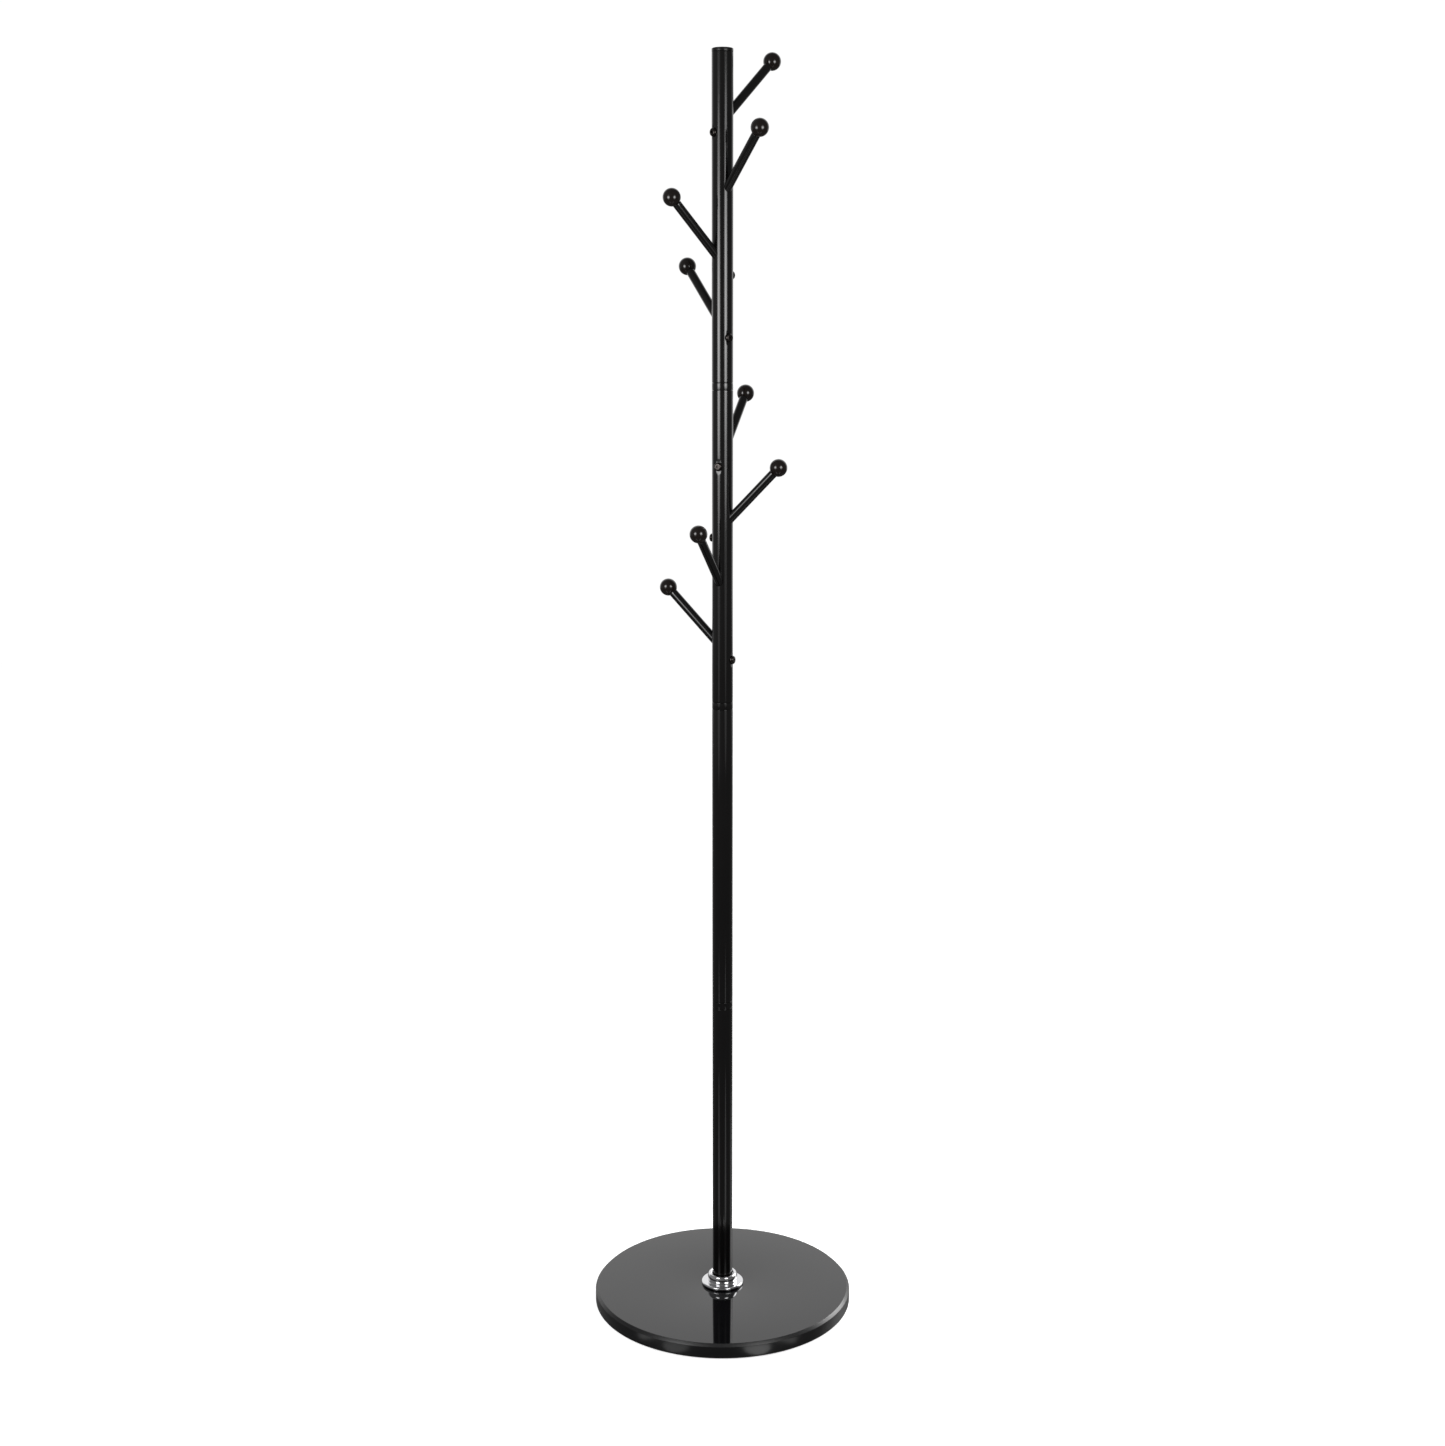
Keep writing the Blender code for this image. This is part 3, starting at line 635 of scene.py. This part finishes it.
def pegTubeMesh():
    low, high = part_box("peg_tube_lower")
    length = high.z - low.z
    places = [(height, i * math.pi / 2) for i, height in enumerate(pegHeights)]
    bolts = [boltFrame(height, turn) for height, turn in places]
    frames = [(place, place.inverted()) for place in bolts]
    fine, coarse, end = 0.5 * mm, 8 * mm, 2 * mm
    rows, height = [], end
    heads = [place.translation.z for place in bolts]
    while height < length - end:
        rows.append([dished(p, frames) for p in ringOf(tube["radius"], height, tube["steps"])])
        below = [head - dimple["rim"] for head in heads if head + dimple["rim"] > height]
        gap = min(below) - height if below else coarse
        height += fine if gap < fine else min(gap, coarse)
    top = soften([(tube["bore"], length, 0), (tube["radius"], length, tube["endFillet"]),
                  (tube["radius"], length - end, 0)])
    foot = soften([(tube["radius"], end, 0), (tube["radius"], 0, tube["endFillet"]), (tube["bore"], 0, 0)])
    rows = [ringOf(radius, level, tube["steps"]) for radius, level in top] + rows[::-1]
    rows += [ringOf(radius, level, tube["steps"]) for radius, level in foot[1:]]
    shape = bmesh.new()
    skin(shape, rows, closed=True)
    mesh = meshFrom("peg_tube", shape)
    rodHole = peg["rodRadius"] + peg["holeClearance"]
    pegs = [pegFrame(height, turn) for height, turn in places]
    mesh = cutMesh(mesh, cylinders("rod_holes", rodHole, 0, peg["reach"], pegs))
    made = cutMesh(mesh, cylinders("bolt_holes", bolt["hole"], -peg["reach"], 0, bolts))
    made.set_sharp_from_angle(angle=math.radians(40))
    return made


def pegRodMesh():
    # the rod runs through the pole; its inner end is cut to the far wall and threaded for the bolt
    steps, shoulder = 72, ballSeat - peg["shoulderGap"]
    wall, tenonTop = tube["bore"] - tube["play"], shoulder + peg["tenonLength"]

    def farEnd(radius, clear=0.0):
        row = []
        for k in range(steps if radius else 1):
            angle = math.tau * k / steps
            down, side = radius * math.cos(angle), radius * math.sin(angle)
            reach = -math.sqrt(wall ** 2 - side ** 2) - down * math.sin(peg["slope"])
            row.append(Vector((down, side, reach / math.cos(peg["slope"]) + clear)))
        return row

    top = soften([(0, tenonTop, 0), (peg["tenon"], tenonTop, 0.4 * mm), (peg["tenon"], shoulder, 0.2 * mm),
                  (peg["rodRadius"], shoulder, 0.3 * mm), (peg["rodRadius"], shoulder - 4 * mm, 0)],
                 arcSteps=4)
    rows = [ringOf(radius, level, steps) for radius, level in top]
    rows += [ringOf(peg["rodRadius"], 60 * mm, steps), ringOf(peg["rodRadius"], 10 * mm, steps)]
    rows += [farEnd(peg["rodRadius"], 0.4 * mm), farEnd(peg["rodRadius"] - 0.3 * mm)]
    rows += [farEnd(peg["rodRadius"] * share) for share in (0.7, 0.4, 0)]
    shape = bmesh.new()
    skin(shape, rows)
    thread = pegFrame(0, 0).inverted() @ boltFrame(0, 0)
    made = cutMesh(meshFrom("peg_rod", shape), cylinders("thread", bolt["hole"], -peg["reach"], 0, [thread]))
    made.set_sharp_from_angle(angle=math.radians(40))
    return made


def pegBallMesh():
    radius, steps = peg["ballRadius"], 56
    lowest = -math.acos(peg["ballFlat"] / radius)
    outline = [(0, ballReach + radius)]
    for i in range(1, steps + 1):
        angle = math.pi / 2 + (lowest - math.pi / 2) * i / steps
        outline.append((radius * math.cos(angle), ballReach + radius * math.sin(angle)))
    bore = peg["tenon"] + peg["holeClearance"]
    outline += [(bore, ballSeat), (bore, ballSeat + peg["boreDepth"]), (0, ballSeat + peg["boreTip"])]
    return turnedMesh("peg_ball", outline, 96)


def pegBoltMesh():
    steps, under, face = 72, bolt["underHead"], bolt["underHead"] - bolt["headHeight"]
    rows = [[Vector((0, 0, bolt["tip"]))], ringOf(bolt["shank"] - 0.5 * mm, bolt["tip"], steps)]
    rows += threadRows(bolt["shank"], bolt["pitch"], bolt["threadDepth"], under + mm,
                       bolt["tip"] - 0.4 * mm, steps)
    skirt, domeSteps, fullness = 0.4 * mm, 16, 0.9  # the head's short straight side, then its dome
    head = [(bolt["shank"], under + 0.2 * mm), (bolt["shank"] + 0.2 * mm, under),
            (bolt["headRadius"] - 0.2 * mm, under), (bolt["headRadius"], under - 0.2 * mm)]
    bulge = bolt["headRadius"] - bolt["faceRadius"]
    for i in range(domeSteps + 1):
        angle = math.pi / 2 * i / domeSteps
        head.append((bolt["faceRadius"] + bulge * math.cos(angle) ** fullness,
                     under - skirt - (bolt["headHeight"] - skirt) * math.sin(angle)))
    rows += [ringOf(radius, level, steps) for radius, level in head] + [[Vector((0, 0, face))]]
    shape = bmesh.new()
    skin(shape, rows)
    mesh = meshFrom("peg_bolt", shape, 35)
    corner = bolt["socket"] / 2 / math.cos(math.pi / 6)
    mesh = cutMesh(mesh, cylinders("socket", corner, face - mm, face + bolt["socketDepth"], [Matrix()], 6))
    mouth = bmesh.new()  # the socket's chamfered mouth
    bmesh.ops.create_cone(mouth, cap_ends=True, segments=steps, radius1=corner + 0.3 * mm,
                          radius2=corner * 0.86, depth=0.6 * mm, matrix=atHeight(face + 0.1 * mm))
    made = cutMesh(mesh, meshFrom("mouth", mouth))
    made.set_sharp_from_angle(angle=math.radians(35))
    return made


def pegsAndTubes():
    tubeMesh, rodMesh, ballMesh, boltMesh = pegTubeMesh(), pegRodMesh(), pegBallMesh(), pegBoltMesh()
    for name, level in levels.items():
        place = atHeight(level["foot"]) @ Matrix.Rotation(level["first"], 4, "Z")
        addPiece(f"peg_tube_{name}_shell", tubeMesh, enamel, [f"peg_tube_{name}"], place)
        for i, number in enumerate(level["balls"]):
            height, turn = level["foot"] + pegHeights[i], level["first"] + i * math.pi / 2
            axis = pegFrame(height, turn)
            addPiece(f"rod_{number}", rodMesh, enamel, [f"peg_rod_{number}"], axis)
            addPiece(f"ball_{number}", ballMesh, lacquer, [f"peg_ball_{number}"], axis)
            addPiece(f"button_bolt_{number}", boltMesh, oxide, [f"peg_bolt_{number}"],
                     boltFrame(height, turn))


plainTubes()
couplers()
couplingStuds()
nutInserts()
topCap()
print("pole made")
pegsAndTubes()
print("pegs made")


# ---- studio

# seen: what the camera itself sees of the backdrop; the other brightnesses are for light and reflections
studio = {"seen": 1.02, "backdrop": 1.05, "left": 0.24, "right": 0.13, "floorSize": 12.0,
          "floorGlow": 0.07, "floorWhite": 0.75}


def studioFloor():
    # white to the camera, dark and satin in reflections
    shape = bmesh.new()
    bmesh.ops.create_grid(shape, x_segments=1, y_segments=1, size=studio["floorSize"] / 2)
    mesh = bpy.data.meshes.new("studio_floor")
    shape.to_mesh(mesh)
    shape.free()
    floor = bpy.data.objects.new("studio_floor", mesh)
    floor.location.z = -0.2 * mm
    bpy.context.scene.collection.objects.link(floor)
    material, tree, shader = newMaterial("paleFloor", {
        "Base Color": (*hexLinear("#383838"), 1), "Roughness": 0.35, "Emission Color": (1, 1, 1, 1),
        "Emission Strength": studio["floorGlow"]})
    rays = addNode(tree, "ShaderNodeLightPath")
    white = addNode(tree, "ShaderNodeEmission", {"Strength": studio["floorWhite"]})
    pale = addNode(tree, "ShaderNodeBsdfDiffuse", {"Color": (*hexLinear("#f0f0f0"), 1)})
    seen = addNode(tree, "ShaderNodeAddShader", links={0: pale.outputs["BSDF"], 1: white.outputs["Emission"]})
    mixed = addNode(tree, "ShaderNodeMixShader", links={
        0: rays.outputs["Is Camera Ray"], 1: shader.outputs["BSDF"], 2: seen.outputs["Shader"]})
    output = [n for n in tree.nodes if n.type == "OUTPUT_MATERIAL"][0]
    tree.links.new(mixed.outputs["Shader"], output.inputs["Surface"])
    mesh.materials.append(material)


def studioWorld():
    # a white backdrop behind the rack; the sides and the front are dim, so that black surfaces read as black
    world = bpy.data.worlds.new("studio")
    bpy.context.scene.world = world
    world.use_nodes = True
    tree = world.node_tree
    tree.nodes.clear()
    direction = addNode(tree, "ShaderNodeTexCoord")
    parts = addNode(tree, "ShaderNodeSeparateXYZ", links={"Vector": direction.outputs["Generated"]})
    side = addNode(tree, "ShaderNodeMapRange", {
        "From Min": -1.0, "From Max": 0.0, "To Min": studio["left"], "To Max": studio["right"]},
        {"Value": parts.outputs["X"]})
    behind = addNode(tree, "ShaderNodeMapRange", {
        "interpolation_type": "SMOOTHSTEP", "From Min": 0.25, "From Max": 0.75, "To Max": studio["backdrop"]},
        {"Value": parts.outputs["Y"]})
    shine = addNode(tree, "ShaderNodeMath", {"operation": "MAXIMUM"},
                    {0: side.outputs["Result"], 1: behind.outputs["Result"]})
    rays = addNode(tree, "ShaderNodeLightPath")
    strength = addNode(tree, "ShaderNodeMix", {"data_type": "FLOAT", 3: studio["seen"]},
                       {0: rays.outputs["Is Camera Ray"], 2: shine.outputs["Value"]})
    glow = addNode(tree, "ShaderNodeBackground", {"Color": (1, 1, 1, 1)}, {"Strength": strength.outputs[0]})
    addNode(tree, "ShaderNodeOutputWorld", links={"Surface": glow.outputs["Background"]})


def lamp(name, azimuth, distance, height, width, radiance, aim=None, cone=180, tall=None):
    # an oval diffuser that faces aim, or straight up; azimuth counts from the front, anticlockwise from above
    light = bpy.data.lights.new(name, "AREA")
    light.shape, light.size, light.size_y = "ELLIPSE", width, tall or width
    light.spread = math.radians(cone)
    light.energy = radiance * math.pi * math.pi * width * (tall or width) / 4
    holder = bpy.data.objects.new(name, light)
    angle = math.radians(azimuth)
    holder.location = (distance * math.sin(angle), -distance * math.cos(angle), height)
    if aim is None:
        holder.rotation_euler = (math.pi, 0, angle)
    else:
        holder.rotation_euler = (Vector(aim) - holder.location).to_track_quat("-Z", "Y").to_euler()
    holder.visible_camera = False
    bpy.context.scene.collection.objects.link(holder)


def studioLights():
    # two round diffusers in front, each bright in the middle and fading outwards in three steps
    key = {"distance": 1.5, "widths": (0.32, 0.58, 0.90), "radiances": (10.0, 7.0, 3.6)}
    glow = {"width": 0.9, "radiance": 0.5, "tall": 1.7}  # the faint glow round each diffuser
    # lamps that lie on the floor and stand in for its gloss: a long pale streak from each diffuser towards
    # the base, and a small pool of light by the base's rim
    streak = {"distance": 0.72, "height": mm, "width": 0.14, "radiance": 0.8, "tall": 1.04}
    pool = {"distance": 0.215, "height": mm, "width": 0.05}
    # a low kicker behind, which reaches the right of the base's bevel
    kicker = {"azimuth": 118, "distance": 1.2, "height": 0.62, "width": 0.9, "radiance": 0.7,
              "aim": (0.15, -0.08, 0), "cone": 50}
    sides = {"left": {"azimuth": -41, "height": 1.42, "poolAzimuth": -23, "poolRadiance": 0.75},
             "right": {"azimuth": 35, "height": 1.47, "poolAzimuth": 17, "poolRadiance": 1.65}}
    for side, spot in sides.items():
        azimuth, height = spot["azimuth"], spot["height"]
        for step, (width, radiance) in enumerate(zip(key["widths"], key["radiances"])):
            lamp(f"{side}_diffuser_{step}", azimuth, key["distance"], height, width, radiance, (0, 0, height))
        lamp(f"{side}_outer_glow", azimuth, key["distance"], height, glow["width"], glow["radiance"],
             (0, 0, height), tall=glow["tall"])
        lamp(f"{side}_floor_streak", azimuth, **streak)
        lamp(f"{side}_floor_pool", spot["poolAzimuth"], radiance=spot["poolRadiance"], **pool)
    lamp("base_kicker", **kicker)


def productCamera():
    # height and distance in metres, tilt in degrees, lens and sensor in millimetres
    view = {"height": 1.348, "distance": 2.652, "tilt": 10.54, "lens": 48.49, "sensor": 36}
    data = bpy.data.cameras.new("product_camera")
    data.lens, data.sensor_width = view["lens"], view["sensor"]
    camera = bpy.data.objects.new("product_camera", data)
    camera.location = (0, -view["distance"], view["height"])
    camera.rotation_euler = (math.radians(90 - view["tilt"]), 0, 0)
    bpy.context.scene.collection.objects.link(camera)
    bpy.context.scene.camera = camera


studioFloor()
studioWorld()
studioLights()
productCamera()
bpy.context.scene.view_settings.view_transform = "Standard"
print("studio made")
